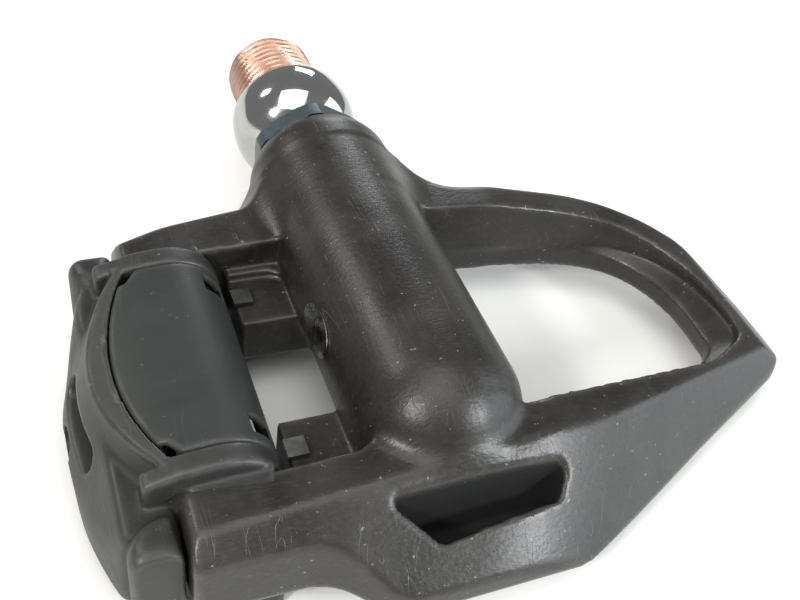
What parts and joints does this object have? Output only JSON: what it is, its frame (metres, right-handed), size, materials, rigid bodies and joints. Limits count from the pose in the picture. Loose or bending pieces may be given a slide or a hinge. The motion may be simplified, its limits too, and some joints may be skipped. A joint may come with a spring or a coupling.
{
  "type": "clipless road pedal",
  "caption": "Clipless road pedal, left side: moulded body with front hook, sprung rear claw, steel platform plate and spindle on bearings.",
  "frame": {"origin": "on the spindle axis, in the plane of the shoulder that seats on the crank arm", "axes": "+Z towards the pedal's underside, +X towards the toe, +Y along the spindle towards the crank"},
  "size_m": [0.1011, 0.1, 0.0256],
  "materials": {
    "chromed_steel": "mirror chrome, copper-coloured worn thread",
    "bearing_steel": "ground bearing steel",
    "anodised_alloy": "dark blue-grey anodised",
    "black_rubber": "matte",
    "moulded_resin": "fibre-filled resin, slightly worn",
    "plate_steel": "bright stainless sheet",
    "black_steel": "black oxide",
    "foil": "blank silver foil",
    "claw_resin": "fibre-filled resin",
    "cover_resin": "smooth dark grey",
    "bush_resin": "low-friction resin",
    "spring_steel": "oiled spring steel",
    "indicator_alloy": "grey satin"
  },
  "bodies": {
    "spindle": {"spindle": "chromed_steel", "outboard_cone": "bearing_steel", "cone_locknut": "bearing_steel"},
    "pedal": {"pedal_body": "moulded_resin", "platform_plate": "plate_steel", "plate_screws": "black_steel", "lock_collar": "anodised_alloy", "bearing_sleeve": "anodised_alloy", "inboard_bearing_cup": "bearing_steel", "outboard_bearing_cup": "bearing_steel", "needle_bearing_shell": "bearing_steel", "spindle_seal": "black_rubber", "flank_foil": "foil", "pivot_pin": "plate_steel", "spring_anchors": "plate_steel"},
    "inboard_ball_ring": {"inboard_balls": "bearing_steel"},
    "outboard_ball_ring": {"outboard_balls": "bearing_steel"},
    "roller_ring": {"needle_rollers": "bearing_steel"},
    "claw": {"rear_claw": "claw_resin", "spring_cover": "cover_resin", "pin_bushes": "bush_resin", "spring_mandrel": "bush_resin", "torsion_spring_inboard": "spring_steel", "torsion_spring_outboard": "spring_steel"},
    "tension_bolt": {"tension_bolt": "black_steel"},
    "tension_plate": {"tension_plate": "indicator_alloy"}
  },
  "joints": [
    {"name": "pedal_spin", "type": "hinge", "parent": "spindle", "child": "pedal", "pos_m": [0, -0.04, 0], "axis": [0, 1, 0], "continuous": true},
    {"name": "inboard_balls_orbit", "type": "hinge", "parent": "spindle", "child": "inboard_ball_ring", "pos_m": [0, -0.025, 0], "axis": [0, 1, 0], "continuous": true},
    {"name": "outboard_balls_orbit", "type": "hinge", "parent": "spindle", "child": "outboard_ball_ring", "pos_m": [0, -0.0545, 0], "axis": [0, 1, 0], "continuous": true},
    {"name": "rollers_orbit", "type": "hinge", "parent": "spindle", "child": "roller_ring", "pos_m": [0, -0.039, 0], "axis": [0, 1, 0], "continuous": true},
    {"name": "claw_open", "type": "hinge", "parent": "pedal", "child": "claw", "pos_m": [-0.0285, -0.0532, -0.0005], "axis": [0, 1, 0], "range_deg": [0, 22], "stiffness_Nm_per_rad": 1, "springref_deg": -14.32},
    {"name": "tension_bolt_turn", "type": "hinge", "parent": "claw", "child": "tension_bolt", "pos_m": [-0.042, -0.0532, -0.0096], "axis": [1, 0, 0], "range_deg": [-900, 0]},
    {"name": "tension_plate_slide", "type": "slide", "parent": "claw", "child": "tension_plate", "axis": [1, 0, 0], "range_m": [0, 0.00176]}
  ],
  "couplings": [
    {"joint": "inboard_balls_orbit", "follows": "pedal_spin", "ratio": 0.596},
    {"joint": "outboard_balls_orbit", "follows": "pedal_spin", "ratio": 0.596},
    {"joint": "rollers_orbit", "follows": "pedal_spin", "ratio": 0.579},
    {"joint": "tension_plate_slide", "follows": "tension_bolt_turn", "m_per_rad": -0.00011141}
  ]
}
